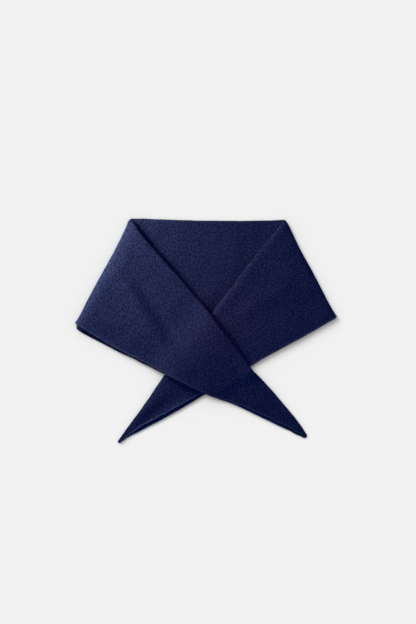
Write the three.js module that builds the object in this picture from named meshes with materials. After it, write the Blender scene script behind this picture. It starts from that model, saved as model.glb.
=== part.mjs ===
import * as THREE from "three";

// A knitted wool neck bandana, laid flat the way it crosses at the throat.
//
// The cloth is one long, low triangle of doubled knit: the long edge is a fold, and the two plies end
// at the lower edges, where the longer ply shows as a narrow ledge. The middle of the triangle lies
// face up as the back stretch. Its right end is turned over to the left and lies on it, and its left
// end is turned over to the right and crosses above that. Both pointed ends run off the back and come
// down to the surface.
//
// Millimetres. +X is to the right, +Y points to the straight top edge, +Z is up, and the origin is on
// the surface under the middle of the outline.

// Cloth sizes. Beside its long edge the cloth is thicker by PLUMP, fading over PLUMP_REACH.
const PLY = 1.5;
const WALL = 2 * PLY;
const HALF_WALL = WALL / 2;
const LAYER_GAP = 0.5;
const LAYER_RISE = WALL + LAYER_GAP;
const PLUMP = 0.5;
const PLUMP_REACH = 22;
const CROSS_RISE = LAYER_RISE + PLUMP;
const JOIN_GAP = 0.3;

// A side fold turns through FOLD_TURN at this radius, to the middle of the wall. The bow of its line
// fades over BOW_FADE past the turn.
const FOLD_RADIUS = 1.9;
const FOLD_TURN = THREE.MathUtils.degToRad(162);
const FOLD_REACH = FOLD_RADIUS + HALF_WALL;
const FOLD_QUARTER = (Math.PI / 2) * FOLD_RADIUS;
const FOLD_OVER = FOLD_REACH - FOLD_RADIUS * Math.sin(FOLD_TURN);
const FOLD_RISE = FOLD_RADIUS * (1 - Math.cos(FOLD_TURN));
const FOLD_RETURN = 12;
const BOW_FADE = 24;
const FOLD_STEPS = 8;
const FOLD_RETURN_STEPS = 2;
const FOLD_SAMPLES = 80;

// Cloth that runs off the edge of the layer below stays level for OVERHANG. A share of the way down is a
// short drop, and the rest is a long slope.
const OVERHANG = 2;
const DROP = 20;
const BACK_DROP_SHARE = 0.2;
const CROSS_DROP_SHARE = 0.9;
const SLOPE = 150;

// Where the left end climbs onto the right end it bridges the step, BRIDGE long, up to a crest that falls
// away again. BRIDGE_START is where it is up, short of the right end's long edge.
const BRIDGE_START = -14;
const BRIDGE = 46;
const BRIDGE_CREST = 2.0;
const BRIDGE_FALL = 60;

// Wall section: a round long edge, and a ledge at the lower edge where only the longer ply goes on.
// The long edge has a short round below and a long one above.
// Where the cloth is narrow, the rounds and the ledge take no more than these shares of its width.
const ROUND_STEPS = 4;
const LONG_ROUND = 4.5;
const LANES = 12;
const LANE_SPREAD = 1.3;
const LEDGE_FALL = 1.1;
const LEDGE_ROUND = 0.5;
const EDGE_ROUND = 0.8;
const LEDGE_SHARE = 0.25;
const EDGE_SHARE = 0.2;
const SHORT_SHARE = 0.25;
const LONG_SHARE = 0.4;

// The step down to the ledge, as shares of its fall and its round, and the rounded outer edge, as shares
// of the edge's size
const STEP_TOP_FALL = 0.4;
const STEP_FOOT_RUN = 0.3;
const EDGE_TOP_RUN = 0.2;
const EDGE_TOP_FALL = 0.4;
const EDGE_SIDE_RISE = 0.8;
const EDGE_FOOT_RUN = 0.35;
const EDGE_FOOT_RISE = 0.2;

// The cloth thins to POINT_THICKNESS of its wall over the last stretch of each end.
const POINT_LENGTH = 2.4;
const POINT_THICKNESS = 0.55;
const STEPS_PER_ROW = 4;
const BACK_STEPS_PER_ROW = 3;

// The outermost line of each side fold, from the top corner to the lower corner
const LEFT_FOLD = [
  { x: -94.2, y: 139.8 },
  { x: -97.2, y: 136.8 },
  { x: -99.4, y: 131.0 },
  { x: -114.4, y: 100.1 },
  { x: -131.0, y: 70.1 },
  { x: -147.2, y: 40.1 },
  { x: -158.2, y: 18.4 },
  { x: -163.9, y: 9.4 },
];
const RIGHT_FOLD = [
  { x: 98.9, y: 138.9 },
  { x: 103.4, y: 131.2 },
  { x: 118.0, y: 100.8 },
  { x: 130.9, y: 77.6 },
  { x: 157.8, y: 26.4 },
  { x: 164.0, y: 16.9 },
];

// At each fold the long edge slants by lead, along the fold for each millimetre away from it, one way
// below and the other way above. The lower corners reach past the end of the fold by inner where the
// cloth below joins the back, outer where it turns up, and over where it lies down again. ledge is how far
// the longer ply shows there.
const LEFT_CORNER = { lead: 0.54, inner: 6.6, outer: 1.0, over: 1.3, ledge: 1.0 };
const RIGHT_CORNER = { lead: 0.46, inner: -0.9, outer: -0.6, over: 0.5, ledge: 1.0 };
// How squarely the cloth under a fold turns its lower corner: nearer 0 is squarer
const CORNER_POWER = 0.15;

// The swelling above each fold, at its top and at its low end: its height and its distance from the fold
const LEFT_HUMP = { topHeight: 2.8, lowHeight: 2.2, topCrest: 16, lowCrest: 9 };
const RIGHT_HUMP = { topHeight: 0.5, lowHeight: 0.4, topCrest: 10, lowCrest: 10 };

// Sections of the cloth above each fold, from the fold to the point. Each runs straight from the long
// edge to the lower edge; ledge is how far the longer ply shows there.
const LEFT_SECTIONS = [
  { longX: -81.2, longY: 121.8, lowerX: -142.6, lowerY: -6.2, ledge: 1.6 },
  { longX: -61.2, longY: 98.2, lowerX: -107.8, lowerY: -27.4, ledge: 2.2 },
  { longX: -28.7, longY: 62.0, lowerX: -75.8, lowerY: -43.0, ledge: 2.2 },
  { longX: 6.9, longY: 18.8, lowerX: -48.0, lowerY: -57.0, ledge: 1.8 },
  { longX: 30.8, longY: -12.2, lowerX: -1.2, lowerY: -79.6, ledge: 1.2 },
  { longX: 56.5, longY: -46.8, lowerX: 33.1, lowerY: -92.3, ledge: 2.0 },
  { longX: 80.2, longY: -72.2, lowerX: 64.1, lowerY: -106.4, ledge: 3.4 },
  { longX: 99.5, longY: -94.8, lowerX: 91.1, lowerY: -119.5, ledge: 4.2 },
  { longX: 117.3, longY: -117.2, lowerX: 111.9, lowerY: -129.4, ledge: 2.6 },
  { longX: 126.8, longY: -131.2, lowerX: 123.6, lowerY: -134.8, ledge: 1.2 },
];
const RIGHT_SECTIONS = [
  { longX: 81.4, longY: 118.0, lowerX: 135.7, lowerY: 0.0, ledge: 1.0 },
  { longX: 55.2, longY: 85.6, lowerX: 106.7, lowerY: -16.3, ledge: 1.0 },
  { longX: 31.0, longY: 53.4, lowerX: 72.9, lowerY: -35.0, ledge: 1.0 },
  { longX: 0.0, longY: 13.4, lowerX: 38.0, lowerY: -55.8, ledge: 1.6 },
  { longX: -28.0, longY: -23.4, lowerX: 4.0, lowerY: -77.0, ledge: 3.0 },
  { longX: -53.6, longY: -57.4, lowerX: -26.1, lowerY: -95.3, ledge: 4.4 },
  { longX: -73.8, longY: -87.4, lowerX: -55.1, lowerY: -111.7, ledge: 4.6 },
  { longX: -91.7, longY: -112.4, lowerX: -81.2, lowerY: -125.3, ledge: 4.2 },
  { longX: -103.0, longY: -127.6, lowerX: -97.2, lowerY: -133.3, ledge: 1.8 },
  { longX: -111.2, longY: -139.2, lowerX: -107.8, lowerY: -140.8, ledge: 0.6 },
];

// Sections of the back between the two folds, from left to right; the lowest is at the apex.
const BACK_LEDGE = 2.5;
const BACK_SECTIONS = [
  { longX: -61.0, longY: 139.1, lowerX: -107.8, lowerY: -28.0 },
  { longX: -28.0, longY: 138.0, lowerX: -54.0, lowerY: -51.0 },
  { longX: 2.0, longY: 137.5, lowerX: 0.0, lowerY: -73.0 },
  { longX: 40.0, longY: 137.2, lowerX: 58.0, lowerY: -41.4 },
  { longX: 68.0, longY: 137.4, lowerX: 114.0, lowerY: -10.8 },
];

// The main creases: each lifts the cloth along a line by its height at each point, and fades over left
// and right, the reaches to the two sides of the line as it runs.
const CREASE_SAMPLES = 48;
const CREASE_FADE = 2;
const LEFT_CREASES = [
  {
    left: 11,
    right: 18,
    points: [
      { x: -118, y: 78, height: 0.2 },
      { x: -97, y: 54, height: 3.0 },
      { x: -72, y: 14, height: 2.7 },
      { x: -52, y: -18, height: 1.8 },
      { x: -36, y: -42, height: 0.9 },
      { x: 0, y: -74, height: 0.2 },
    ],
  },
  {
    left: 10,
    right: 24,
    points: [
      { x: -80, y: 120, height: 0.2 },
      { x: -52, y: 87, height: 1.1 },
      { x: -22, y: 53, height: 1.2 },
      { x: 4, y: 22, height: 0.4 },
    ],
  },
];
const RIGHT_CREASES = [
  {
    left: 14,
    right: 12,
    points: [
      { x: 124, y: 78, height: 0.0 },
      { x: 104, y: 60, height: 0.8 },
      { x: 78, y: 42, height: 0.6 },
      { x: 56, y: 26, height: 0.5 },
      { x: 40, y: 10, height: 0.0 },
    ],
  },
];

const smooth = (t) => {
  const c = Math.min(1, Math.max(0, t));
  return c * c * (3 - 2 * c);
};

// Signed distance of a plan point from the line through two points: positive on its right hand side
function beyond(point, from, to) {
  const dx = to.x - from.x;
  const dy = to.y - from.y;
  return ((point.x - from.x) * dy - (point.y - from.y) * dx) / Math.hypot(dx, dy);
}

// 1 over a layer, falling to 0 past its edge
function carried(distance, dropShare) {
  const past = distance - OVERHANG;
  return 1 - dropShare * smooth(past / DROP) - (1 - dropShare) * smooth(past / SLOPE);
}

const lowerPoint = (section) => new THREE.Vector2(section.lowerX, section.lowerY);
const longPoint = (section) => new THREE.Vector2(section.longX, section.longY);
const APEX = lowerPoint(BACK_SECTIONS[2]);
const BACK_LEFT = lowerPoint(BACK_SECTIONS[0]);
const BACK_RIGHT = lowerPoint(BACK_SECTIONS[4]);

// How far the back stretch lifts whatever lies over a plan point
function backLift(point) {
  const pastLeft = beyond(point, APEX, BACK_LEFT) * -1;
  const pastRight = beyond(point, APEX, BACK_RIGHT);
  return LAYER_RISE * carried(Math.max(pastLeft, pastRight), BACK_DROP_SHARE);
}

// How far the right stretch lifts the left stretch where they cross
function rightLift(point) {
  const pastLong = beyond(point, longPoint(RIGHT_SECTIONS[5]), longPoint(RIGHT_SECTIONS[0])) * -1;
  const pastLower = beyond(point, lowerPoint(RIGHT_SECTIONS[5]), lowerPoint(RIGHT_SECTIONS[1]));
  const bridged = 1 - smooth((pastLong - BRIDGE_START) / BRIDGE);
  const crest = BRIDGE_CREST * smooth(1 + (pastLong - BRIDGE_START) / BRIDGE_FALL);
  return (CROSS_RISE + crest) * Math.min(bridged, carried(pastLower, CROSS_DROP_SHARE));
}

// A smooth plan curve through points that have x and y
const planCurve = (points) =>
  new THREE.CatmullRomCurve3(points.map((p) => new THREE.Vector3(p.x, p.y, 0)), false, "centripetal");

// A crease as a function that gives its height at a plan point
function creaseLift({ points, left, right }) {
  const line = planCurve(points);
  const spans = points.length - 1;
  const samples = [];
  for (let i = 0; i < CREASE_SAMPLES; i++) {
    const t = i / (CREASE_SAMPLES - 1);
    const at = Math.min(spans - 1, Math.floor(t * spans));
    const height = THREE.MathUtils.lerp(points[at].height, points[at + 1].height, t * spans - at);
    samples.push({ place: line.getPoint(t), run: line.getTangent(t), height });
  }
  return (point) => {
    const gap = (sample) => Math.hypot(point.x - sample.place.x, point.y - sample.place.y);
    const nearest = samples.reduce((best, sample) => (gap(sample) < gap(best) ? sample : best));
    const gapX = point.x - nearest.place.x;
    const gapY = point.y - nearest.place.y;
    const reach = nearest.run.x * gapY - nearest.run.y * gapX > 0 ? left : right;
    return nearest.height * Math.exp(-CREASE_FADE * (gap(nearest) / reach) ** 2);
  };
}

// The closed outline of the wall: across is the distance from the long edge, up is from mid wall.
// side is 1 where the longer ply is underneath and -1 where it is on top. facing is 1 where up is away
// from the surface, -1 where it is towards it, and between them on the turn of a fold: the long edge is
// round and plump on the side away from the surface.
function wallSection(width, ledge, scale, side, facing) {
  const half = HALF_WALL * scale;
  const shelf = Math.min(ledge, LEDGE_SHARE * width);
  const edge = Math.min(EDGE_ROUND, EDGE_SHARE * width) * scale;
  const fall = LEDGE_FALL * scale;
  const round = Math.min(LEDGE_ROUND, shelf / 2);
  const shortRound = Math.min(half, SHORT_SHARE * width);
  const longRound = Math.min(LONG_ROUND, LONG_SHARE * width);
  const wallSide = (sign) => {
    const away = (1 + sign * facing) / 2;
    const reach = THREE.MathUtils.lerp(shortRound, longRound, away);
    const plump = PLUMP * scale * Math.max(0, sign * facing);
    const fade = Math.min(PLUMP_REACH, width);
    const swell = (across) => plump * smooth(across / reach) * (1 - smooth(across / fade));
    return { reach, up: (across, level) => sign * (half * level + swell(across)) };
  };
  const upper = wallSide(1);
  const under = wallSide(-1);
  const flatEnd = width - shelf - round;
  const outline = [];
  const roundPoint = (wall, turn) => {
    const across = wall.reach * (1 - Math.cos(turn));
    outline.push({ across, up: wall.up(across, Math.sin(turn)) });
  };
  for (let i = ROUND_STEPS; i > 0; i--) roundPoint(under, (Math.PI * i) / (2 * ROUND_STEPS));
  for (let i = 0; i <= ROUND_STEPS; i++) roundPoint(upper, (Math.PI * i) / (2 * ROUND_STEPS));
  for (let i = 1; i <= LANES; i++) {
    const across = THREE.MathUtils.lerp(upper.reach, flatEnd, (i / LANES) ** LANE_SPREAD);
    outline.push({ across, up: upper.up(across, 1) });
  }
  outline.push({ across: width - shelf, up: half - STEP_TOP_FALL * fall });
  outline.push({ across: width - shelf + STEP_FOOT_RUN * round, up: half - fall });
  outline.push({ across: width - edge, up: half - fall });
  outline.push({ across: width - EDGE_TOP_RUN * edge, up: half - fall - EDGE_TOP_FALL * edge });
  outline.push({ across: width, up: -half + EDGE_SIDE_RISE * edge });
  outline.push({ across: width - EDGE_FOOT_RUN * edge, up: -half + EDGE_FOOT_RISE * edge });
  outline.push({ across: width - edge, up: -half });
  for (let i = LANES - 1; i >= 1; i--) {
    const across = THREE.MathUtils.lerp(under.reach, width - edge, (i / LANES) ** LANE_SPREAD);
    outline.push({ across, up: under.up(across, 1) });
  }
  return side > 0 ? outline : outline.map((p) => ({ across: p.across, up: -p.up })).reverse();
}

// A closed solid through rings of equal length, with flat ends. hand is 1 for rings that follow each
// other to the left of the section's outline and -1 for the mirror of that.
function loft(rings, section, hand) {
  const count = rings[0].length;
  const positions = rings.flat().flatMap((p) => [p.x, p.y, p.z]);
  const faces = [];
  const face = (a, b, c) => faces.push(...(hand > 0 ? [a, b, c] : [a, c, b]));
  for (let i = 0; i + 1 < rings.length; i++)
    for (let j = 0; j < count; j++) {
      const next = (j + 1) % count;
      const a = i * count + j;
      const b = i * count + next;
      face(a, b, a + count);
      face(b, b + count, a + count);
    }
  const flat = section.map((p) => new THREE.Vector2(p.across, p.up));
  const last = (rings.length - 1) * count;
  for (const [a, b, c] of THREE.ShapeUtils.triangulateShape(flat, [])) {
    const turned = THREE.ShapeUtils.area([flat[a], flat[b], flat[c]]) > 0 ? [a, b, c] : [a, c, b];
    face(turned[0], turned[1], turned[2]);
    face(last + turned[0], last + turned[2], last + turned[1]);
  }
  const geometry = new THREE.BufferGeometry();
  geometry.setAttribute("position", new THREE.Float32BufferAttribute(positions, 3));
  geometry.setIndex(faces);
  return geometry;
}

// A side fold: its line, the direction out of the cloth, and how far its own line bows from straight
function sideFold(points, outward) {
  const line = planCurve(points);
  const top = points[0];
  const low = points[points.length - 1];
  const along = new THREE.Vector3(low.x - top.x, low.y - top.y, 0).normalize();
  const out = new THREE.Vector3(-along.y, along.x, 0).multiplyScalar(outward);
  const length = Math.hypot(low.x - top.x, low.y - top.y);
  const samples = line.getSpacedPoints(FOLD_SAMPLES);
  const bowAt = (distance) => {
    const run = (p) => (p.x - top.x) * along.x + (p.y - top.y) * along.y;
    const off = (p) => (p.x - top.x) * out.x + (p.y - top.y) * out.y;
    const wanted = Math.min(length, Math.max(0, distance));
    let i = 0;
    while (i < samples.length - 2 && run(samples[i + 1]) < wanted) i++;
    const span = run(samples[i + 1]) - run(samples[i]);
    return THREE.MathUtils.lerp(off(samples[i]), off(samples[i + 1]), (wanted - run(samples[i])) / span);
  };
  return { top: new THREE.Vector3(top.x, top.y, 0), along, out, length, bowAt };
}

// Rings of the part of a stretch that turns round its side fold, from under the back to the top. The
// long edge slants past the fold line, and the bow of that line fades towards the back.
function foldRings(fold, corner) {
  const rings = [];
  const place = (inward, height, normal, fromFold, past, bow) => {
    const start = -corner.lead * fromFold;
    const section = wallSection(fold.length + past - start, corner.ledge, 1, 1, normal.z);
    rings.push(
      section.map((p) =>
        fold.top
          .clone()
          .addScaledVector(fold.along, start + p.across)
          .addScaledVector(fold.out, bow * fold.bowAt(start + p.across) - inward)
          .add(new THREE.Vector3(0, 0, height))
          .addScaledVector(normal, p.up),
      ),
    );
  };
  const down = new THREE.Vector3(0, 0, -1);
  for (let i = FOLD_RETURN_STEPS; i > 0; i--) {
    const share = i / FOLD_RETURN_STEPS;
    const reach = FOLD_RETURN * share;
    const past = THREE.MathUtils.lerp(corner.outer, corner.inner, share ** CORNER_POWER);
    place(FOLD_REACH + reach, HALF_WALL, down, FOLD_QUARTER + reach, past, 1 - share);
  }
  for (let i = 0; i <= FOLD_STEPS; i++) {
    const turn = (FOLD_TURN * i) / FOLD_STEPS;
    const level = Math.cos(turn);
    const normal = fold.out.clone().multiplyScalar(Math.sin(turn)).addScaledVector(down, level);
    const inward = FOLD_REACH - FOLD_RADIUS * Math.sin(turn);
    const height = HALF_WALL + FOLD_RADIUS * (1 - level);
    const past = (level > 0 ? corner.outer : corner.over) * level ** 2;
    place(inward, height, normal, FOLD_QUARTER - FOLD_RADIUS * turn, past, 1);
  }
  return rings;
}

// The two edges of a stretch in plan, as curves through its sections
function edgeCurves(fold, corner, sections) {
  const inside = fold.top.clone().addScaledVector(fold.out, -FOLD_OVER);
  const fromFold = FOLD_RADIUS * FOLD_TURN - FOLD_QUARTER;
  const start = inside.clone().addScaledVector(fold.along, corner.lead * fromFold);
  const end = inside.clone().addScaledVector(fold.along, fold.length + corner.over);
  return {
    long: planCurve([start, ...sections.map(longPoint)]),
    lower: planCurve([end, ...sections.map(lowerPoint)]),
  };
}

// One end of the bandana: it turns up round its side fold, lies on the back and narrows to its point.
function endStretch({ foldLine, outward, sections, corner, hump, creases, lifts }) {
  const fold = sideFold(foldLine, outward);
  const edges = edgeCurves(fold, corner, sections);
  const rows = sections.length;
  const ledges = [corner.ledge, ...sections.map((row) => row.ledge)];
  const creaseLifts = creases.map(creaseLift);
  const total = (functions, point) => functions.reduce((sum, f) => sum + f(point), 0);
  const foldDistance = (p) => -FOLD_OVER - p.clone().sub(fold.top).dot(fold.out);
  const heightAt = (p) => {
    const downFold = smooth(p.clone().sub(fold.top).dot(fold.along) / fold.length);
    const crest = THREE.MathUtils.lerp(hump.topCrest, hump.lowCrest, downFold);
    const humpHeight = THREE.MathUtils.lerp(hump.topHeight, hump.lowHeight, downFold);
    const share = Math.max(0, foldDistance(p)) / crest;
    const turned = (FOLD_RISE - LAYER_RISE) * (1 - smooth(share));
    const swell = turned + humpHeight * share * Math.exp(1 - share);
    return HALF_WALL + total(lifts, p) + swell + total(creaseLifts, p) * smooth(share);
  };

  const rings = foldRings(fold, corner);
  const steps = rows * STEPS_PER_ROW;
  let section;
  for (let i = 1; i <= steps; i++) {
    const t = i / steps;
    const long = edges.long.getPoint(t);
    const lower = edges.lower.getPoint(t);
    const row = Math.min(rows - 1, Math.floor(t * rows));
    const ledge = THREE.MathUtils.lerp(ledges[row], ledges[row + 1], t * rows - row);
    const toPoint = edges.long.getPoint(1).distanceTo(long);
    const scale = THREE.MathUtils.lerp(POINT_THICKNESS, 1, Math.min(1, toPoint / POINT_LENGTH));
    const across = lower.clone().sub(long);
    const width = across.length();
    across.normalize();
    const bowFade = 1 - smooth(foldDistance(long) / BOW_FADE);
    section = wallSection(width, ledge, scale, 1, 1);
    rings.push(
      section.map((q) => {
        const p = long.clone().addScaledVector(across, q.across);
        p.addScaledVector(fold.out, fold.bowAt((q.across / width) * fold.length) * bowFade);
        return p.setZ(heightAt(p) - (1 - scale) * HALF_WALL + q.up);
      }),
    );
  }
  return loft(rings, section, -outward);
}

// The middle of the bandana, flat on the surface between the two fold returns
function backStretch(leftFold, rightFold) {
  const inward = FOLD_REACH + FOLD_RETURN + JOIN_GAP;
  const sideRow = (fold, corner) => {
    const inside = fold.top.clone().addScaledVector(fold.out, -inward);
    const fromFold = FOLD_QUARTER + FOLD_RETURN + JOIN_GAP;
    const long = inside.clone().addScaledVector(fold.along, -corner.lead * fromFold);
    const lower = inside.clone().addScaledVector(fold.along, fold.length + corner.inner);
    return { longX: long.x, longY: long.y, lowerX: lower.x, lowerY: lower.y };
  };
  const rows = [sideRow(leftFold, LEFT_CORNER), ...BACK_SECTIONS, sideRow(rightFold, RIGHT_CORNER)];
  const rings = [];
  let section;
  const spans = rows.length - 1;
  for (let i = 0; i <= spans * BACK_STEPS_PER_ROW; i++) {
    const at = Math.min(spans - 1, Math.floor(i / BACK_STEPS_PER_ROW));
    const share = i / BACK_STEPS_PER_ROW - at;
    const mix = (key) => THREE.MathUtils.lerp(rows[at][key], rows[at + 1][key], share);
    const long = new THREE.Vector3(mix("longX"), mix("longY"), HALF_WALL);
    const across = new THREE.Vector3(mix("lowerX"), mix("lowerY"), HALF_WALL).sub(long);
    const width = across.length();
    across.normalize();
    section = wallSection(width, BACK_LEDGE, 1, -1, -1);
    rings.push(
      section.map((q) => long.clone().addScaledVector(across, q.across).add(new THREE.Vector3(0, 0, q.up))),
    );
  }
  return loft(rings, section, 1);
}

// Brushed navy wool
const navy = (name, color) => new THREE.MeshStandardMaterial({ name, color, roughness: 0.95, metalness: 0 });

function named(name, geometry, material) {
  const mesh = new THREE.Mesh(geometry, material);
  mesh.name = name;
  return mesh;
}

const bandana = new THREE.Group();
bandana.name = "bandana";
bandana.add(
  named(
    "back_stretch",
    backStretch(sideFold(LEFT_FOLD, -1), sideFold(RIGHT_FOLD, 1)),
    navy("navy_knit_back", 0x1a2048),
  ),
  named(
    "right_stretch",
    endStretch({
      foldLine: RIGHT_FOLD,
      outward: 1,
      sections: RIGHT_SECTIONS,
      corner: RIGHT_CORNER,
      hump: RIGHT_HUMP,
      creases: RIGHT_CREASES,
      lifts: [backLift],
    }),
    navy("navy_knit_right", 0x1b2249),
  ),
  named(
    "left_stretch",
    endStretch({
      foldLine: LEFT_FOLD,
      outward: -1,
      sections: LEFT_SECTIONS,
      corner: LEFT_CORNER,
      hump: LEFT_HUMP,
      creases: LEFT_CREASES,
      lifts: [backLift, rightLift],
    }),
    navy("navy_knit_left", 0x1e254d),
  ),
);

export default bandana;
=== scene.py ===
import math
from collections import namedtuple

import bpy
import numpy as np
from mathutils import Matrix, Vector


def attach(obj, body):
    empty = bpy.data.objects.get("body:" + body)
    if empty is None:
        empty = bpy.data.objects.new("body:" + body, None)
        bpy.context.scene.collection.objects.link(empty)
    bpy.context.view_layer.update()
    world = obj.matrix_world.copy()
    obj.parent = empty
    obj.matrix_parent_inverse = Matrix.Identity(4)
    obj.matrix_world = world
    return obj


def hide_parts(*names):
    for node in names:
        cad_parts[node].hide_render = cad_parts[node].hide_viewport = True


# A navy wool bandana, laid flat the way it crosses at the throat.
#
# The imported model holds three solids: the back, which lies on the surface, and the two ends that turn
# over the side folds, cross in front and run out to their points. Each is replaced here by the same
# stretch of doubled knit with a finer skin: two plies at the lower edge, creases, a felted surface and
# a short nap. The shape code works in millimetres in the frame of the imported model, and every mesh is
# written in metres. The stage's places and sizes are in metres.
#
# Nothing that the photograph shows of the bandana is left out.

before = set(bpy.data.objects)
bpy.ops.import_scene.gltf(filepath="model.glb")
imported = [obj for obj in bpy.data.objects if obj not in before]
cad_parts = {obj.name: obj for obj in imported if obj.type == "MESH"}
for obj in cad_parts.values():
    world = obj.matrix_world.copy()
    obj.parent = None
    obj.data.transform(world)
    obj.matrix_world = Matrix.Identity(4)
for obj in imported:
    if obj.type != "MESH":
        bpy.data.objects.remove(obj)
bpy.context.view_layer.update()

MM = 0.001
BODY = "root"

# Cloth wall. Beside its long edge the cloth is plumper, fading over PLUMP_REACH.
PLY = 1.5
WALL = 2 * PLY
HALF_WALL = WALL / 2
LAYER_RISE = WALL + 0.5
PLUMP = 0.5
PLUMP_REACH = 22
CROSS_RISE = LAYER_RISE + PLUMP

# Side folds: the cloth turns through FOLD_TURN at FOLD_RADIUS, then swells and settles
FOLD_RADIUS = 1.9
FOLD_TURN = math.radians(162)
FOLD_REACH = FOLD_RADIUS + HALF_WALL
FOLD_QUARTER = math.pi / 2 * FOLD_RADIUS
FOLD_OVER = FOLD_REACH - FOLD_RADIUS * math.sin(FOLD_TURN)
FOLD_RISE = FOLD_RADIUS * (1 - math.cos(FOLD_TURN))
FOLD_RETURN = 12
BOW_FADE = 24

# Cloth past the edge of the layer below stays level for OVERHANG. A share of the way down is a short
# drop and the rest a long slope. Where the left end climbs onto the right end it bridges the step.
OVERHANG = 2
DROP = 20
BACK_DROP_SHARE = 0.2
CROSS_DROP_SHARE = 0.9
SLOPE = 150
BRIDGE_START = -14
BRIDGE = 46
BRIDGE_CREST = 2.0
BRIDGE_FALL = 60

# Wall section
SHORT_ROUND_SHARE = 0.25
LEFT_LONG_ROUND = 3
RIGHT_LONG_ROUND = 7
BACK_LONG_ROUND = 4
LONG_ROUND_SHARE = 0.4
LEDGE_SHARE = 0.3
EDGE_ROUND = 0.9
EDGE_SHARE = 0.2
BACK_LEDGE = 2.5

# The free edge of the upper ply: past is the distance beyond it and drop the depth below its face
LipPoint = namedtuple("LipPoint", "past drop")
LIP = [
    LipPoint(-2.0, 0.0),
    LipPoint(-1.5, -0.12),
    LipPoint(-0.9, -0.5),
    LipPoint(-0.5, -0.62),
    LipPoint(-0.2, -0.35),
    LipPoint(0.0, 0.3),
    LipPoint(0.12, 1.0),
    LipPoint(0.3, 1.4),
]
LIP_ROOM = 2.1
# The strip of the lower ply past the lip: shares of its width with a point, its depth and its slope
SHELF_STEPS = (0.4, 0.75)
SHELF_DROP = 1.45
SHELF_SLOPE = 0.25

# Points of the mesh: round the long edge, across each side, and rings along a stretch
ROUND_POINTS = 7
EDGE_POINTS = 5
PLAIN_EDGE_POINTS = 4
SKIN_LANES = 100
TURN_RINGS = 24
RETURN_RINGS = 9
RINGS_PER_SECTION = 22
BACK_RINGS = 150
FOLD_SAMPLES = 400

# The last millimetres of each end, where the wall rounds off to its point
POINT_LENGTH = 2.6
POINT_LEAST = 0.3
POINT_LEAST_WIDTH = 0.45

# The lower end of a side fold: how far the long edge leads there, how far the cloth runs past the fold
# line under the fold, at its outside and above it, and the ledge there
Corner = namedtuple("Corner", "lead inner outer over ledge")
# The swelling above a fold, at its top and at its low end: its height and its distance from the fold
Hump = namedtuple("Hump", "top_height low_height top_crest low_crest")
Section = namedtuple("Section", "long_x long_y lower_x lower_y ledge")

# The outermost line of each side fold, from the top corner to the lower corner
LEFT_FOLD = [
    (-94.2, 140.2),
    (-97.2, 136.8),
    (-99.4, 131.0),
    (-114.4, 100.1),
    (-131.0, 70.1),
    (-147.2, 40.1),
    (-158.2, 18.4),
    (-163.9, 9.4),
]
RIGHT_FOLD = [
    (98.9, 138.9),
    (103.4, 131.2),
    (118.0, 100.8),
    (130.9, 77.6),
    (157.8, 26.4),
    (164.0, 16.9),
]
LEFT_CORNER = Corner(lead=0.54, inner=6.6, outer=1.0, over=1.3, ledge=1.0)
RIGHT_CORNER = Corner(lead=0.46, inner=-0.9, outer=-0.6, over=0.5, ledge=1.0)
# How squarely the cloth under a fold turns its lower corner: nearer 0 is squarer
CORNER_POWER = 0.15
LEFT_HUMP = Hump(top_height=2.8, low_height=2.2, top_crest=16, low_crest=9)
RIGHT_HUMP = Hump(top_height=0.5, low_height=0.4, top_crest=10, low_crest=10)

# Sections from each fold to its point, straight from the long edge to the lower edge
LEFT_SECTIONS = [
    Section(-81.2, 121.8, -142.6, -6.2, 1.6),
    Section(-61.2, 98.2, -107.8, -27.4, 2.2),
    Section(-28.7, 62.0, -75.8, -43.0, 2.2),
    Section(6.9, 18.8, -48.0, -57.0, 1.8),
    Section(30.8, -12.2, -1.2, -79.6, 1.2),
    Section(56.5, -46.8, 33.1, -92.3, 2.0),
    Section(80.2, -72.2, 64.1, -106.4, 3.4),
    Section(99.5, -94.8, 91.1, -119.5, 4.2),
    Section(117.3, -117.2, 111.9, -129.4, 2.6),
    Section(126.8, -131.2, 123.6, -134.8, 1.2),
]
RIGHT_SECTIONS = [
    Section(81.4, 118.0, 135.7, 0.0, 1.0),
    Section(55.2, 85.6, 106.7, -16.3, 1.0),
    Section(31.0, 53.4, 72.9, -35.0, 1.0),
    Section(0.0, 13.4, 38.0, -55.8, 1.6),
    Section(-28.0, -23.4, 4.0, -77.0, 3.0),
    Section(-53.6, -57.4, -26.1, -95.3, 4.4),
    Section(-73.8, -87.4, -55.1, -111.7, 4.6),
    Section(-91.7, -112.4, -81.2, -125.3, 4.2),
    Section(-103.0, -127.6, -97.2, -133.3, 1.8),
    Section(-111.2, -139.2, -107.8, -140.8, 0.6),
]
BACK_SECTIONS = [
    Section(-61.0, 139.1, -107.8, -28.0, BACK_LEDGE),
    Section(-28.0, 138.0, -54.0, -51.0, BACK_LEDGE),
    Section(2.0, 137.5, 0.0, -73.0, BACK_LEDGE),
    Section(40.0, 137.2, 58.0, -41.4, BACK_LEDGE),
    Section(68.0, 137.4, 114.0, -10.8, BACK_LEDGE),
]

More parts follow.
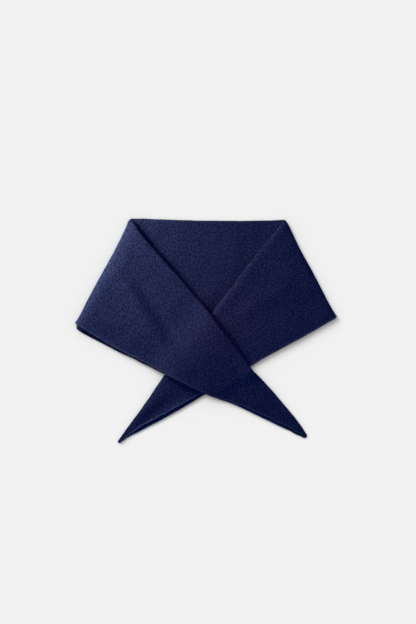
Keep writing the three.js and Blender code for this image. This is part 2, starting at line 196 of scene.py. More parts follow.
# A crease runs along a line of points, each with its own height there, negative for a trough. It fades
# over left and right, the reaches to the two sides of the line as it runs.
CREASE_SAMPLES = 48
CREASE_FADE = 2
CreasePoint = namedtuple("CreasePoint", "x y height")
Crease = namedtuple("Crease", "points left right")
LEFT_CREASES = [
    Crease(
        [
            CreasePoint(-118, 78, 0.2),
            CreasePoint(-97, 54, 3.0),
            CreasePoint(-72, 14, 2.7),
            CreasePoint(-52, -18, 1.8),
            CreasePoint(-36, -42, 0.9),
            CreasePoint(0, -74, 0.2),
        ],
        left=11,
        right=18,
    ),
    Crease(
        [
            CreasePoint(-84, 62, 0.0),
            CreasePoint(-70, 38, -1.1),
            CreasePoint(-51, 8, -1.5),
            CreasePoint(-37, -14, -1.2),
            CreasePoint(-30, -32, 0.0),
        ],
        left=11,
        right=12,
    ),
    Crease(
        [
            CreasePoint(-24, -18, 0.0),
            CreasePoint(4, -38, -0.8),
            CreasePoint(24, -56, -0.9),
            CreasePoint(44, -74, -0.3),
        ],
        left=22,
        right=16,
    ),
    Crease(
        [
            CreasePoint(-10, -92, -0.3),
            CreasePoint(18, -76, -2.1),
            CreasePoint(42, -61, -2.2),
            CreasePoint(64, -46, -0.3),
        ],
        left=34,
        right=14,
    ),
    Crease(
        [
            CreasePoint(60, -124, -1.6),
            CreasePoint(82, -104, -1.8),
            CreasePoint(104, -84, -1.6),
        ],
        left=42,
        right=60,
    ),
    Crease(
        [
            CreasePoint(-80, 120, 0.2),
            CreasePoint(-52, 87, 1.1),
            CreasePoint(-22, 53, 1.2),
            CreasePoint(4, 22, 0.4),
        ],
        left=10,
        right=24,
    ),
    Crease(
        [
            CreasePoint(2, 24, 0.0),
            CreasePoint(20, 2, -0.9),
            CreasePoint(42, -26, -1.1),
            CreasePoint(62, -52, -0.3),
        ],
        left=8,
        right=16,
    ),
    Crease(
        [
            CreasePoint(-146, 6, 0.0),
            CreasePoint(-104, -20, -1.8),
            CreasePoint(-62, -42, -1.9),
            CreasePoint(-22, -62, -1.1),
        ],
        left=26,
        right=16,
    ),
]
RIGHT_CREASES = [
    Crease(
        [
            CreasePoint(124, 78, 0.0),
            CreasePoint(104, 60, 0.8),
            CreasePoint(78, 42, 0.6),
            CreasePoint(56, 26, 0.5),
            CreasePoint(40, 10, 0.0),
        ],
        left=14,
        right=12,
    ),
    Crease(
        [
            CreasePoint(140, 40, 0.0),
            CreasePoint(118, 30, -0.6),
            CreasePoint(92, 32, -0.7),
            CreasePoint(74, 20, 0.0),
        ],
        left=10,
        right=12,
    ),
    Crease(
        [CreasePoint(62, 56, 0.0), CreasePoint(46, 36, -0.6), CreasePoint(30, 22, 0.0)],
        left=11,
        right=11,
    ),
    Crease(
        [
            CreasePoint(-14, -68, 0.0),
            CreasePoint(-42, -88, -1.3),
            CreasePoint(-70, -108, -1.9),
            CreasePoint(-94, -124, -0.7),
        ],
        left=9,
        right=12,
    ),
]
BACK_CREASES = [
    Crease(
        [CreasePoint(84, 140, 0.0), CreasePoint(66, 118, -0.8), CreasePoint(38, 88, 0.0)],
        left=16,
        right=14,
    ),
    Crease(
        [CreasePoint(84, 116, -0.3), CreasePoint(38, 56, -1.3), CreasePoint(8, 18, -1.7)],
        left=6,
        right=18,
    ),
]

# Unevenness of the soft cloth: size is the distance between bumps and height their height
Swell = namedtuple("Swell", "size height")
SWELLS = [Swell(42, 0.5), Swell(17, 0.3), Swell(5.5, 0.14), Swell(2.9, 0.1)]

# How far each edge wanders, and how far apart its turns are. Each edge reads its own row of the noise,
# and towards a point, below STEADY_WIDTH, its lower and long edges steady.
LIP_WOBBLE = 0.5
LOWER_WOBBLE = 0.5
LONG_WOBBLE = 0.3
WOBBLE_SIZE = 11
LIP_ROW = 3.5
LOWER_ROW = 9.5
LONG_ROW = 15.5
STEADY_WIDTH = 20
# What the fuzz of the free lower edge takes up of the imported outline
LOWER_FUZZ = 0.5

# The view of the photograph: straight down, with the outline's middle a little above the frame's
VIEW_HEIGHT = 0.78
VIEW_X = 0.0024
VIEW_Y = 0.0233
CAMERA_HEIGHT = 3.2
SENSOR = 36


def smooth(t):
    c = np.clip(t, 0, 1)
    return c * c * (3 - 2 * c)


def mix(a, b, share):
    return a + (b - a) * share


NOISE_CELLS = 256


def noise_field(seed):
    """A smooth field of values between -1 and 1, as a function of two numbers; its cells are 1 wide."""
    cells = NOISE_CELLS
    lattice = np.random.default_rng(seed).uniform(-1, 1, (cells, cells))

    def at(x, y):
        x, y = np.broadcast_arrays(np.asarray(x, float), np.asarray(y, float))
        i = np.floor(x).astype(int)
        j = np.floor(y).astype(int)
        u = smooth(x - i)
        v = smooth(y - j)
        i0, i1 = i % cells, (i + 1) % cells
        j0, j1 = j % cells, (j + 1) % cells
        low = mix(lattice[i0, j0], lattice[i1, j0], u)
        high = mix(lattice[i0, j1], lattice[i1, j1], u)
        return mix(low, high, v)

    return at


def plan_curve(points):
    """A smooth centripetal curve through plan points, as a function of 0 to 1."""
    knots = np.array(points, float)
    p = np.vstack([2 * knots[0] - knots[1], knots, 2 * knots[-1] - knots[-2]])
    step = np.sqrt(np.linalg.norm(np.diff(p, axis=0), axis=1))[:, None]
    spans = len(knots) - 1

    def at(t):
        place = np.clip(np.asarray(t, float), 0, 1) * spans
        i = np.minimum(place.astype(int), spans - 1)
        w = (place - i)[..., None]
        a, b, c, d = p[i], p[i + 1], p[i + 2], p[i + 3]
        ab, bc, cd = step[i], step[i + 1], step[i + 2]
        leave = ((b - a) / ab - (c - a) / (ab + bc) + (c - b) / bc) * bc
        arrive = ((c - b) / bc - (d - b) / (bc + cd) + (d - c) / cd) * bc
        square = 3 * (c - b) - 2 * leave - arrive
        cube = 2 * (b - c) + leave + arrive
        return b + w * (leave + w * (square + w * cube))

    return at


def beyond(x, y, start, end):
    """Signed distance from the line through two points, positive on its right hand side."""
    dx, dy = end[0] - start[0], end[1] - start[1]
    return ((x - start[0]) * dy - (y - start[1]) * dx) / math.hypot(dx, dy)


def long_point(section):
    return (section.long_x, section.long_y)


def lower_point(section):
    return (section.lower_x, section.lower_y)


def carried(distance, drop_share):
    """1 over a layer, falling to 0 past its edge."""
    past = distance - OVERHANG
    return 1 - drop_share * smooth(past / DROP) - (1 - drop_share) * smooth(past / SLOPE)


def back_lift(x, y):
    """How far the back lifts whatever lies over a plan point."""
    left, apex, right = (lower_point(BACK_SECTIONS[i]) for i in (0, 2, 4))
    past = np.maximum(-beyond(x, y, apex, left), beyond(x, y, apex, right))
    return LAYER_RISE * carried(past, BACK_DROP_SHARE)


def right_lift(x, y):
    """How far the right end lifts the left end where they cross."""
    past_long = -beyond(x, y, long_point(RIGHT_SECTIONS[5]), long_point(RIGHT_SECTIONS[0]))
    past_lower = beyond(x, y, lower_point(RIGHT_SECTIONS[5]), lower_point(RIGHT_SECTIONS[1]))
    bridged = 1 - smooth((past_long - BRIDGE_START) / BRIDGE)
    crest = BRIDGE_CREST * smooth(1 + (past_long - BRIDGE_START) / BRIDGE_FALL)
    return (CROSS_RISE + crest) * np.minimum(bridged, carried(past_lower, CROSS_DROP_SHARE))


def crease_height(x, y, crease):
    """Height of one crease at plan points."""
    line = plan_curve([(p.x, p.y) for p in crease.points])
    t = np.linspace(0, 1, CREASE_SAMPLES)
    samples = line(t)
    heights = np.interp(t, np.linspace(0, 1, len(crease.points)), [p.height for p in crease.points])
    run = np.gradient(samples, axis=0)
    flat_x, flat_y = np.ravel(x), np.ravel(y)
    gap_x = flat_x[:, None] - samples[None, :, 0]
    gap_y = flat_y[:, None] - samples[None, :, 1]
    distance = np.hypot(gap_x, gap_y)
    nearest = np.argmin(distance, axis=1)
    rows = np.arange(len(flat_x))
    turn = run[nearest, 0] * gap_y[rows, nearest] - run[nearest, 1] * gap_x[rows, nearest]
    reach = np.where(turn > 0, crease.left, crease.right)
    fade = np.exp(-((distance[rows, nearest] / reach) ** 2) * CREASE_FADE)
    return (heights[nearest] * fade).reshape(np.shape(x))


def creases_height(x, y, creases):
    return sum(crease_height(x, y, crease) for crease in creases)


def skin_swells(u, v, fields):
    """The soft unevenness of the skin, from the cloth's own flat coordinates."""
    return sum(s.height * field(u / s.size, v / s.size) for s, field in zip(SWELLS, fields))


# The two sides of the wall, from the long edge to the lower edge: across is the distance from the long
# edge, up the distance from mid wall.
Side = namedtuple("Side", "across up")


def rounded(reach, half, swell):
    """The quarter round at the long edge, from mid wall up to the side's face."""
    turn = np.linspace(0, math.pi / 2, ROUND_POINTS)
    across = reach * (1 - np.cos(turn))
    return across, half * np.sin(turn) + swell(across)


def side_swell(width, thin, facing, reach):
    """How much plumper one side is near the long edge; facing is 1 away from the surface."""
    plump = PLUMP * thin * max(0, facing)
    fade = min(PLUMP_REACH, width)
    return lambda across: plump * smooth(across / reach) * (1 - smooth(across / fade))


def round_reach(width, half, facing, long_round):
    """How far in the rounding of the long edge reaches: further on the side away from the surface."""
    short = min(half, SHORT_ROUND_SHARE * width)
    long = min(long_round, LONG_ROUND_SHARE * width)
    return mix(short, long, (1 + facing) / 2)


def ledge_side(width, ledge, thin, facing, wobble, long_round):
    """The side on which the lower edge shows both plies."""
    half = HALF_WALL * thin
    shelf = min(ledge, LEDGE_SHARE * width)
    squeeze = min(1, shelf / BACK_LEDGE)
    lip_at = width - shelf + wobble * squeeze
    reach = round_reach(width, half, facing, long_round)
    swell = side_swell(width, thin, facing, reach)
    round_across, round_up = rounded(reach, half, swell)
    lanes = np.linspace(reach, lip_at - LIP_ROOM * squeeze, SKIN_LANES + 1)[1:-1]
    lip_across = np.array([lip_at + p.past * squeeze for p in LIP])
    lip_up = np.array([half - p.drop * thin for p in LIP]) + swell(lip_across)
    edge = min(EDGE_ROUND, EDGE_SHARE * width) * squeeze
    shelf_start = lip_across[-1]
    shelf_across = np.array([mix(shelf_start, width - edge, s) for s in SHELF_STEPS])
    shelf_up = np.array([half - (SHELF_DROP + SHELF_SLOPE * s) * thin for s in SHELF_STEPS])
    turn = np.linspace(0, math.pi / 2, EDGE_POINTS)
    edge_top = half - (SHELF_DROP + SHELF_SLOPE) * thin
    edge_across = width - edge * (1 - np.sin(turn))
    edge_up = mix(-half / 3, edge_top, np.cos(turn))
    return Side(
        np.concatenate([round_across, lanes, lip_across, shelf_across, edge_across]),
        np.concatenate([round_up, half + swell(lanes), lip_up, shelf_up, edge_up]),
    )


def plain_side(width, thin, facing, count, long_round):
    """The other side of the wall, with as many points."""
    half = HALF_WALL * thin
    reach = round_reach(width, half, facing, long_round)
    swell = side_swell(width, thin, facing, reach)
    round_across, round_up = rounded(reach, half, swell)
    edge = min(EDGE_ROUND, EDGE_SHARE * width)
    turn = np.linspace(0, math.pi / 2, PLAIN_EDGE_POINTS)
    edge_across = width - edge * (1 - np.sin(turn))
    edge_up = mix(half / 3, half, np.cos(turn))
    lane_count = count - ROUND_POINTS - len(turn)
    lanes = np.linspace(reach, width - edge, lane_count + 2)[1:-1]
    return Side(
        np.concatenate([round_across, lanes, edge_across]),
        -np.concatenate([round_up, half + swell(lanes), edge_up]),
    )


def wall_ring(width, ledge, thin, facing, wobble, long_round):
    """Across, up and side of the closed outline: the ledge side out, then the plain side back."""
    top = ledge_side(width, ledge, thin, facing, wobble, long_round)
    under = plain_side(width, thin, -facing, len(top.across), long_round)
    across = np.concatenate([top.across, under.across[-2:0:-1]])
    up = np.concatenate([top.up, under.up[-2:0:-1]])
    side = np.concatenate([np.ones(len(top.across)), -np.ones(len(under.across) - 2)])
    side[[0, len(top.across) - 1]] = 0
    return across, up, side


class Fold:
    """A side fold: its line, the direction out of the cloth, and how far its line bows from straight."""

    def __init__(self, points, outward):
        samples = plan_curve(points)(np.linspace(0, 1, FOLD_SAMPLES))
        self.top = np.array(points[0])
        low = np.array(points[-1])
        self.length = float(np.linalg.norm(low - self.top))
        self.along = (low - self.top) / self.length
        self.out = np.array([-self.along[1], self.along[0]]) * outward
        self.run = (samples - self.top) @ self.along
        self.off = (samples - self.top) @ self.out

    def bow(self, distance):
        return np.interp(distance, self.run, self.off)

    def past_turn(self, plan):
        """Distance of plan points from the end of the turn, into the stretch that lies on top."""
        return -FOLD_OVER - (plan - self.top) @ self.out

    def cloth(self, along, from_fold):
        """Flat cloth coordinates: from_fold is measured through the fold, positive under it."""
        start = FOLD_QUARTER - FOLD_REACH
        return self.top + along[:, None] * self.along + (start - from_fold)[:, None] * self.out


# Rings of points round a stretch of cloth. cloth holds the same points on the flat cloth, and skin is
# 1 on the side that shows and 0 on the other.
Rings = namedtuple("Rings", "points cloth skin")


def wobble_at(field, row, distance, height):
    """How far an edge wanders at a distance along it."""
    return height * float(field(distance / WOBBLE_SIZE, row))


def fold_rings(fold, corner, edge_noise, long_round):
    """Rings from under the back, round the fold, to where the cloth lies down again."""
    out = np.array([*fold.out, 0])
    along = np.array([*fold.along, 0])
    top = np.array([*fold.top, 0])
    down = np.array([0, 0, -1.0])
    rings = []

    def place(inward, height, normal, from_fold, past, bow):
        start = -corner.lead * from_fold
        wobble = wobble_at(edge_noise, LIP_ROW, from_fold, LIP_WOBBLE)
        across, up, side = wall_ring(
            fold.length + past - start, corner.ledge, 1, normal[2], wobble, long_round
        )
        run = start + across
        sideways = bow * fold.bow(run) - inward
        points = top + run[:, None] * along + sideways[:, None] * out + up[:, None] * normal
        points[:, 2] += height
        cloth = fold.cloth(run, np.full(len(run), float(from_fold)))
        rings.append((points, cloth, np.where(side > 0, (1 + normal[2]) / 2, 0)))

    for share in np.linspace(1, 0, RETURN_RINGS)[:-1]:
        reach = FOLD_RETURN * share
        past = mix(corner.outer, corner.inner, share**CORNER_POWER)
        place(FOLD_REACH + reach, HALF_WALL, down, FOLD_QUARTER + reach, past, 1 - share)
    for turn in np.linspace(0, FOLD_TURN, TURN_RINGS):
        level = math.cos(turn)
        normal = out * math.sin(turn) + down * level
        inward = FOLD_REACH - FOLD_RADIUS * math.sin(turn)
        height = HALF_WALL + FOLD_RADIUS * (1 - level)
        past = (corner.outer if level > 0 else corner.over) * level**2
        place(inward, height, normal, FOLD_QUARTER - FOLD_RADIUS * turn, past, 1)
    return rings


def end_height(plan, fold, hump, lifts, creases):
    """Mid height of the wall over plan points, and how deep its skin is pressed in there."""
    x, y = plan[:, 0], plan[:, 1]
    down_fold = smooth((plan - fold.top) @ fold.along / fold.length)
    share = np.maximum(0, fold.past_turn(plan)) / mix(hump.top_crest, hump.low_crest, down_fold)
    hump_height = mix(hump.top_height, hump.low_height, down_fold) * share * np.exp(1 - share)
    swell = (FOLD_RISE - LAYER_RISE) * (1 - smooth(share)) + hump_height
    crease = creases_height(x, y, creases)
    crease *= smooth(share)
    mid = HALF_WALL + sum(lift(x, y) for lift in lifts) + swell + np.maximum(0, crease)
    return mid, np.minimum(0, crease)


def end_stretch(fold, corner, hump, sections, lifts, creases, long_round, seed):
    """One end of the bandana, from under the back, round its fold, to its point."""
    edge_noise = noise_field(seed)
    fields = [noise_field(seed + 1 + i) for i in range(len(SWELLS))]
    rings = fold_rings(fold, corner, edge_noise, long_round)
    inside = fold.top - fold.out * FOLD_OVER
    from_fold = FOLD_RADIUS * FOLD_TURN - FOLD_QUARTER
    start = inside + fold.along * corner.lead * from_fold
    end = inside + fold.along * (fold.length + corner.over)
    long_edge = plan_curve([start, *map(long_point, sections)])
    lower_edge = plan_curve([end, *map(lower_point, sections)])
    rows = len(sections)
    ledges = [corner.ledge, *(s.ledge for s in sections)]
    tip = long_edge(1.0)
    travelled = 0
    last = start
    for t in np.linspace(0, 1, rows * RINGS_PER_SECTION + 1)[1:]:
        long, lower = long_edge(t), lower_edge(t)
        travelled += float(np.linalg.norm(long - last))
        last = long
        ledge = float(np.interp(t * rows, np.arange(rows + 1), ledges))
        to_point = min(1, float(np.linalg.norm(tip - long)) / POINT_LENGTH)
        thin = mix(POINT_LEAST, 1, math.sqrt(1 - (1 - to_point) ** 2))
        settled = smooth(travelled / WOBBLE_SIZE)
        width = float(np.linalg.norm(lower - long))
        across_way = (lower - long) / width
        near_point = min(1, width / STEADY_WIDTH)
        lip_wobble = wobble_at(edge_noise, LIP_ROW, from_fold + travelled, LIP_WOBBLE)
        low_wobble = wobble_at(edge_noise, LOWER_ROW, travelled, LOWER_WOBBLE) - LOWER_FUZZ
        low_wobble *= settled * near_point
        long_wobble = wobble_at(edge_noise, LONG_ROW, travelled, LONG_WOBBLE) * settled * near_point
        across, up, side = wall_ring(
            width + low_wobble - long_wobble, ledge, thin, 1, lip_wobble, long_round
        )
        squeeze = mix(POINT_LEAST_WIDTH, 1, math.sqrt(1 - (1 - to_point) ** 2))
        across = (across - width / 2) * squeeze + width / 2 + long_wobble
        bow_fade = 1 - smooth(fold.past_turn(long) / BOW_FADE)
        bow = fold.bow(across / width * fold.length) * bow_fade
        plan = long + across[:, None] * across_way + bow[:, None] * fold.out
        mid, pressed = end_height(plan, fold, hump, lifts, creases)
        in_wall = np.clip(0.5 + up / WALL, 0, 1)
        height = mid - (1 - thin) * HALF_WALL + up + np.where(side > 0, pressed * in_wall, 0)
        cloth = fold.cloth((plan - fold.top) @ fold.along, -from_fold - fold.past_turn(plan))
        rings.append((np.column_stack([plan, height]), cloth, np.where(side > 0, thin, 0)))
    return with_swells(Rings(*map(np.array, zip(*rings))), fields)


def with_swells(rings, fields):
    """The rings with the soft unevenness added to the side that shows."""
    lift = skin_swells(rings.cloth[..., 0], rings.cloth[..., 1], fields) * rings.skin
    rings.points[..., 2] = np.maximum(0, rings.points[..., 2] + lift)
    return rings


def back_side_row(fold, corner):
    """The back's outermost section, where it meets the cloth that comes back from under the fold."""
    inside = fold.top - fold.out * (FOLD_REACH + FOLD_RETURN)
    from_fold = FOLD_QUARTER + FOLD_RETURN
    long = inside - fold.along * corner.lead * from_fold
    lower = inside + fold.along * (fold.length + corner.inner)
    return Section(*long, *lower, BACK_LEDGE)


def back_stretch(left_fold, right_fold, seed):
    """The middle of the bandana, flat on the surface between the two folds."""
    edge_noise = noise_field(seed)
    fields = [noise_field(seed + 1 + i) for i in range(len(SWELLS))]
    rows = [
        back_side_row(left_fold, LEFT_CORNER),
        *BACK_SECTIONS,
        back_side_row(right_fold, RIGHT_CORNER),
    ]
    table = np.array(rows)
    place = np.arange(len(rows))
    rings = []
    for at in np.linspace(0, len(rows) - 1, BACK_RINGS):
        long_x, long_y, lower_x, lower_y, ledge = (np.interp(at, place, table[:, k]) for k in range(5))
        long = np.array([long_x, long_y])
        way = np.array([lower_x, lower_y]) - long
        width = float(np.linalg.norm(way))
        way /= width
        inside = smooth(min(at, len(rows) - 1 - at))
        long_wobble = wobble_at(edge_noise, LONG_ROW, long_x, LONG_WOBBLE) * inside
        low_wobble = (wobble_at(edge_noise, LOWER_ROW, lower_x, LOWER_WOBBLE) - LOWER_FUZZ) * inside
        lip_wobble = wobble_at(edge_noise, LIP_ROW, lower_x, LIP_WOBBLE)
        across, up, side = wall_ring(
            width + low_wobble - long_wobble, ledge, 1, -1, lip_wobble, BACK_LONG_ROUND
        )
        plan = long + (across + long_wobble)[:, None] * way
        skin = np.where(side < 0, 1.0, 0)
        height = HALF_WALL - up + creases_height(plan[:, 0], plan[:, 1], BACK_CREASES) * skin
        rings.append((np.column_stack([plan, height]), plan, skin * inside))
    return with_swells(Rings(*map(np.array, zip(*rings))), fields)


# Meshes

CLOTH_MAP = "Cloth"
CM_PER_MM = 0.1


def ring_faces(ring_count, point_count, flip):
    """Quads between each ring and the next."""
    i = np.arange(ring_count - 1)[:, None] * point_count
    j = np.arange(point_count)[None, :]
    after = (j + 1) % point_count
    quads = np.stack([i + j, i + after, i + point_count + after, i + point_count + j], axis=-1)
    faces = quads.reshape(-1, 4)
    if flip:
        faces = faces[:, ::-1]
    return faces.tolist()


def cap_faces(first, point_count, flip):
    """The faces that close one end ring, as a ladder between its two sides."""
    half = point_count // 2
    faces = []
    for j in range(half):
        a, b = first + j, first + j + 1
        c, d = first + (point_count - j - 1) % point_count, first + (point_count - j) % point_count
        loop = [a, b, c, d]
        unique = list(dict.fromkeys(loop))
        faces.append(unique[::-1] if flip else unique)
    return faces


def cloth_object(name, rings, flip, material):
    """A closed mesh through the rings, with the flat cloth coordinates, in centimetres, as a map."""
    ring_count, point_count = rings.points.shape[:2]
    sides = ring_faces(ring_count, point_count, flip)
    caps = cap_faces(0, point_count, not flip)
    caps += cap_faces((ring_count - 1) * point_count, point_count, flip)
    mesh = bpy.data.meshes.new(name)
    mesh.from_pydata((rings.points.reshape(-1, 3) * MM).tolist(), [], sides + caps)
    smooth_flags = np.ones(len(mesh.polygons), bool)
    smooth_flags[len(sides):] = False
    mesh.polygons.foreach_set("use_smooth", smooth_flags)
    vertex_of = np.empty(len(mesh.loops), np.int32)
    mesh.loops.foreach_get("vertex_index", vertex_of)
    cloth = rings.cloth.reshape(-1, 2) * CM_PER_MM
    mesh.uv_layers.new(name=CLOTH_MAP).data.foreach_set("uv", cloth[vertex_of].ravel())
    mesh.materials.append(material)
    mesh.update()
    obj = bpy.data.objects.new(name, mesh)
    bpy.context.scene.collection.objects.link(obj)
    return obj


# Nap: short curved fibres that lie on the skin that shows, each a tapering ribbon of two lengths
NAP_FIBRES = 52000
NAP_SHORTEST = 0.9
NAP_LONGEST = 2.6
NAP_WIDTH = 0.075
NAP_ROOT = -0.08
NAP_LEAST_TILT = math.radians(6)
NAP_MOST_TILT = math.radians(26)
NAP_CURL = 0.5
NAP_TIP_RISE = 1 / 3
NAP_PALE_SHARE = 0.16
NAP_LEAST_SKIN = 0.9
# At the free edges of the two plies the fibres are short and thick set, and their pale colour is a painted
# highlight along the edges. The rolls are the first lane of each free edge and the one after its last,
# counted from the lip and from the edge.
NAP_EDGE_SHARE = 0.12
NAP_EDGE_LENGTH = 0.55
LIP_ROLL = (1, 5)
EDGE_ROLL = (0, 3)
# The corners of a fibre, and its place in the list of materials when it is on a free edge, where it is
# painted pale as a highlight
FIBRE_CORNERS = 5
FIBRE_QUAD = (0, 1, 2, 3)
FIBRE_TIP = (3, 2, 4)
EDGE_HIGHLIGHT_KIND = 2
TINY = 1e-9


def skin_quads(rings):
    """Corners of the quads that lie wholly on the skin that shows, and which of them are free edges."""
    p = rings.points
    s = rings.skin >= NAP_LEAST_SKIN
    whole = s[:-1, :-1] & s[:-1, 1:] & s[1:, 1:] & s[1:, :-1]
    lane = np.broadcast_to(np.arange(p.shape[1] - 1), whole.shape)
    lip = ROUND_POINTS + SKIN_LANES - 1
    edge = lip + len(LIP) + len(SHELF_STEPS)
    on_lip = (lane >= lip + LIP_ROLL[0]) & (lane < lip + LIP_ROLL[1])
    on_edge = (lane >= edge + EDGE_ROLL[0]) & (lane < edge + EDGE_ROLL[1])
    corners = (p[:-1, :-1], p[:-1, 1:], p[1:, 1:], p[1:, :-1])
    return tuple(c[whole] for c in corners), (on_lip | on_edge)[whole]


def unit(v):
    return v / np.maximum(np.linalg.norm(v, axis=1, keepdims=True), TINY)


def nap_object(name, rings, flip, seed, materials):
    """Fibres over the skin; materials are for common fibres, pale ones and those of free edges, whose pale
    colour is a painted highlight.
    """
    rng = np.random.default_rng(seed)
    (a, b, c, d), free_edge = skin_quads(rings)
    normal = np.cross(c - a, d - b)
    area = np.linalg.norm(normal, axis=1)
    edge_area = max(area[free_edge].sum(), TINY)
    chance = area / area.sum() + np.where(free_edge, area / edge_area * NAP_EDGE_SHARE, 0)
    pick = rng.choice(len(area), NAP_FIBRES, p=chance / chance.sum())
    u = rng.random((NAP_FIBRES, 1))
    v = rng.random((NAP_FIBRES, 1))
    low = mix(a[pick], b[pick], u)
    high = mix(d[pick], c[pick], u)
    up = unit(normal[pick]) * (-1 if flip else 1)
    root = mix(low, high, v) + up * NAP_ROOT
    east = unit(np.cross(np.array([0.0, 1.0, 0.0]), up))
    north = np.cross(up, east)
    turn = rng.uniform(0, 2 * math.pi, (NAP_FIBRES, 1))
    bend = turn + rng.uniform(-NAP_CURL, NAP_CURL, (NAP_FIBRES, 1))
    tilt = rng.uniform(NAP_LEAST_TILT, NAP_MOST_TILT, (NAP_FIBRES, 1))
    half = rng.uniform(NAP_SHORTEST, NAP_LONGEST, (NAP_FIBRES, 1)) / 2
    half *= np.where(free_edge[pick], NAP_EDGE_LENGTH, 1)[:, None]
    first = east * np.cos(turn) + north * np.sin(turn)
    second = east * np.cos(bend) + north * np.sin(bend)
    middle = root + half * (first * np.cos(tilt) + up * np.sin(tilt))
    tip = middle + half * (second * np.cos(tilt) + up * np.sin(tilt) * NAP_TIP_RISE)
    side = np.cross(up, first) * NAP_WIDTH / 2
    corners = np.stack([root - side, root + side, middle + side, middle - side, tip], axis=1)
    corners[..., 2] = np.maximum(0, corners[..., 2])
    start = np.arange(NAP_FIBRES)[:, None] * FIBRE_CORNERS
    quads = (start + np.array(FIBRE_QUAD)).tolist()
    tips = (start + np.array(FIBRE_TIP)).tolist()
    mesh = bpy.data.meshes.new(name)
    mesh.from_pydata((corners.reshape(-1, 3) * MM).tolist(), [], quads + tips)
    for material in materials:
        mesh.materials.append(material)
    kind = (rng.random(NAP_FIBRES) < NAP_PALE_SHARE).astype(np.int32)
    # Fibres on the free edges take the pale edge material, a painted highlight along the edges
    kind[free_edge[pick]] = EDGE_HIGHLIGHT_KIND
    mesh.polygons.foreach_set("material_index", np.concatenate([kind, kind]))
    mesh.update()
    obj = bpy.data.objects.new(name, mesh)
    bpy.context.scene.collection.objects.link(obj)
    return obj


# Materials

# Places of the colour sockets of a Mix node, and of a Noise node's colour output
MIX_FACTOR = 0
MIX_A = 6
MIX_B = 7
MIX_RESULT = 2
NOISE_COLOR = 1


class Nodes:
    """Short calls for making the nodes of one material."""

    def __init__(self, name):
        self.material = bpy.data.materials.new(name)
        self.material.use_nodes = True
        self.tree = self.material.node_tree
        self.shader = self.tree.nodes["Principled BSDF"]

    def add(self, kind, **settings):
        node = self.tree.nodes.new(kind)
        for key, value in settings.items():
            setattr(node, key, value)
        return node

    def link(self, source, target):
        self.tree.links.new(source, target)

    def feed(self, socket, value):
        if hasattr(value, "is_linked"):
            self.link(value, socket)
        else:
            socket.default_value = value

    def math(self, operation, *values):
        node = self.add("ShaderNodeMath", operation=operation)
        for socket, value in zip(node.inputs, values):
            self.feed(socket, value)
        return node.outputs[0]

    def vector(self, operation, *values):
        node = self.add("ShaderNodeVectorMath", operation=operation)
        for socket, value in zip(node.inputs, values):
            self.feed(socket, value)
        return node.outputs[0]

    def noise(self, vector, scale, detail=2.0, roughness=0.5, output=0):
        node = self.add("ShaderNodeTexNoise")
        self.link(vector, node.inputs["Vector"])
        node.inputs["Scale"].default_value = scale
        node.inputs["Detail"].default_value = detail
        node.inputs["Roughness"].default_value = roughness
        return node.outputs[output]

    def remap(self, value, low, high, to_low=0.0, to_high=1.0):
        node = self.add("ShaderNodeMapRange")
        for socket, v in zip(node.inputs, (value, low, high, to_low, to_high)):
            self.feed(socket, v)
        return node.outputs[0]

    def mix_color(self, factor, a, b):
        node = self.add("ShaderNodeMix", data_type="RGBA")
        self.feed(node.inputs[MIX_FACTOR], factor)
        self.feed(node.inputs[MIX_A], a)
        self.feed(node.inputs[MIX_B], b)
        return node.outputs[MIX_RESULT]


# Knit, in centimetres of cloth: a wale is one column of stitches and a course one row. The felting
# pushes the stitches about by up to half of FELT_PUSH.
WALE = 0.22
COURSE = 0.165
STITCH_SLANT = 1.1
FELT_SCALE = 9
FELT_PUSH = (0.11, 0.11, 0)

# Noise of the wool's surface: its scale, in features to a centimetre, its detail and its roughness
Grain = namedtuple("Grain", "scale detail roughness")
FIBRE_GRAIN = Grain(26, 4, 0.65)
MOTTLE_GRAIN = Grain(4.2, 2, 0.6)
FLECK_GRAIN = Grain(9, 2, 0.6)

# Shares of the three in the relief, and the depth of the bump that it makes
FIBRE_RELIEF = 0.9
MOTTLE_RELIEF = 1.2
STITCH_RELIEF = 0.45
BUMP_STRENGTH = 0.9
BUMP_DEPTH = 0.5 * MM

# Where each pattern starts to show and where it is full
MOTTLE_RANGE = (0.4, 0.6)
# Painted highlight: over this range of the relief's height, the raised stitches and felt are coloured
# lighter
RELIEF_HIGHLIGHT_RANGE = (1.15, 1.75)
FLECK_RANGE = (0.6, 0.72)
FLECK_MOST = 0.85
FIBRE_RANGE = (0.3, 0.7)
ROUGHNESS_RANGE = (0.8, 0.97)
WOOL_SPECULAR = 0.05
WOOL_SHEEN_WEIGHT = 0.06
WOOL_SHEEN_ROUGHNESS = 0.45
NAP_ROUGHNESS = 0.9

NAVY_DARK = (0.002, 0.0034, 0.022, 1)
NAVY = (0.0095, 0.0125, 0.056, 1)
# The lighter navy is a painted highlight on the raised parts of the relief
NAVY_RELIEF_HIGHLIGHT = (0.027, 0.031, 0.094, 1)
FLECK = (0.06, 0.068, 0.15, 1)
WOOL_SHEEN = (0.5, 0.62, 1.0, 1)
NAP_NAVY = (0.0075, 0.0115, 0.052, 1)
NAP_PALE = (0.03, 0.036, 0.105, 1)
# Pale edge fibres: a painted highlight along the free edges of the plies
NAP_EDGE_HIGHLIGHT = (0.085, 0.092, 0.2, 1)


